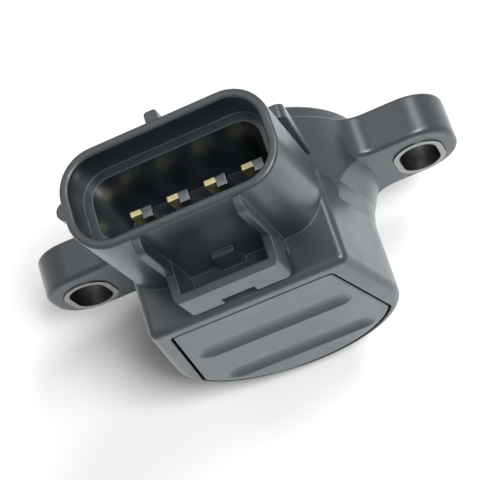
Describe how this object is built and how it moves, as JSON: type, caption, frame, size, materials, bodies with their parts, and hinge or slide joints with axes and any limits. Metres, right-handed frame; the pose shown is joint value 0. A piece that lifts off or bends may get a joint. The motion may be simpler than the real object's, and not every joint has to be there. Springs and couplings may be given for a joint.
{
  "type": "throttle position sensor",
  "caption": "Throttle position sensor with a slotted-ear flange, keyed plug shroud with latch hood, flush cover and a sprung rotor whose drive socket takes the throttle shaft.",
  "frame": {"origin": "on the rotor's axis, at the flange's mounting face", "axes": "+Y along the rotor's axis towards the throttle body, so the cover faces -Y; +X along the ears; +Z out of the plug socket's mouth"},
  "size_m": [0.048, 0.0199, 0.0431],
  "materials": {
    "housing plastic": "satin moulded",
    "cover plastic": "satin moulded",
    "rotor plastic": "natural moulded",
    "seal rubber": "matt",
    "plated steel": "zinc plated",
    "spring steel": "drawn wire",
    "contact brass": "stamped",
    "bearing bronze": "sintered",
    "board ceramic": "fired"
  },
  "bodies": {
    "body": {"housing": "housing plastic", "cover": "cover plastic", "cover_seal": "seal rubber", "sleeve_left": "plated steel", "sleeve_right": "plated steel", "element_board": "board ceramic", "bearing_bush": "bearing bronze", "thrust_washer": "spring steel", "return_spring": "spring steel", "flange_seal": "seal rubber", "terminal_1": "contact brass", "terminal_2": "contact brass", "terminal_3": "contact brass", "terminal_4": "contact brass", "edge_clip_1": "contact brass", "edge_clip_2": "contact brass", "edge_clip_3": "contact brass", "edge_clip_4": "contact brass"},
    "rotor": {"rotor": "rotor plastic", "rotor_clip": "spring steel", "wiper_brush": "contact brass", "idle_brush": "contact brass"}
  },
  "joints": [
    {"name": "rotor_turn", "type": "hinge", "parent": "body", "child": "rotor", "pos_m": [0, 0, 0], "axis": [0, 1, 0], "range_deg": [0, 90], "stiffness_Nm_per_rad": 0.0115, "springref_deg": -60.16, "deforming": ["return_spring"]}
  ]
}
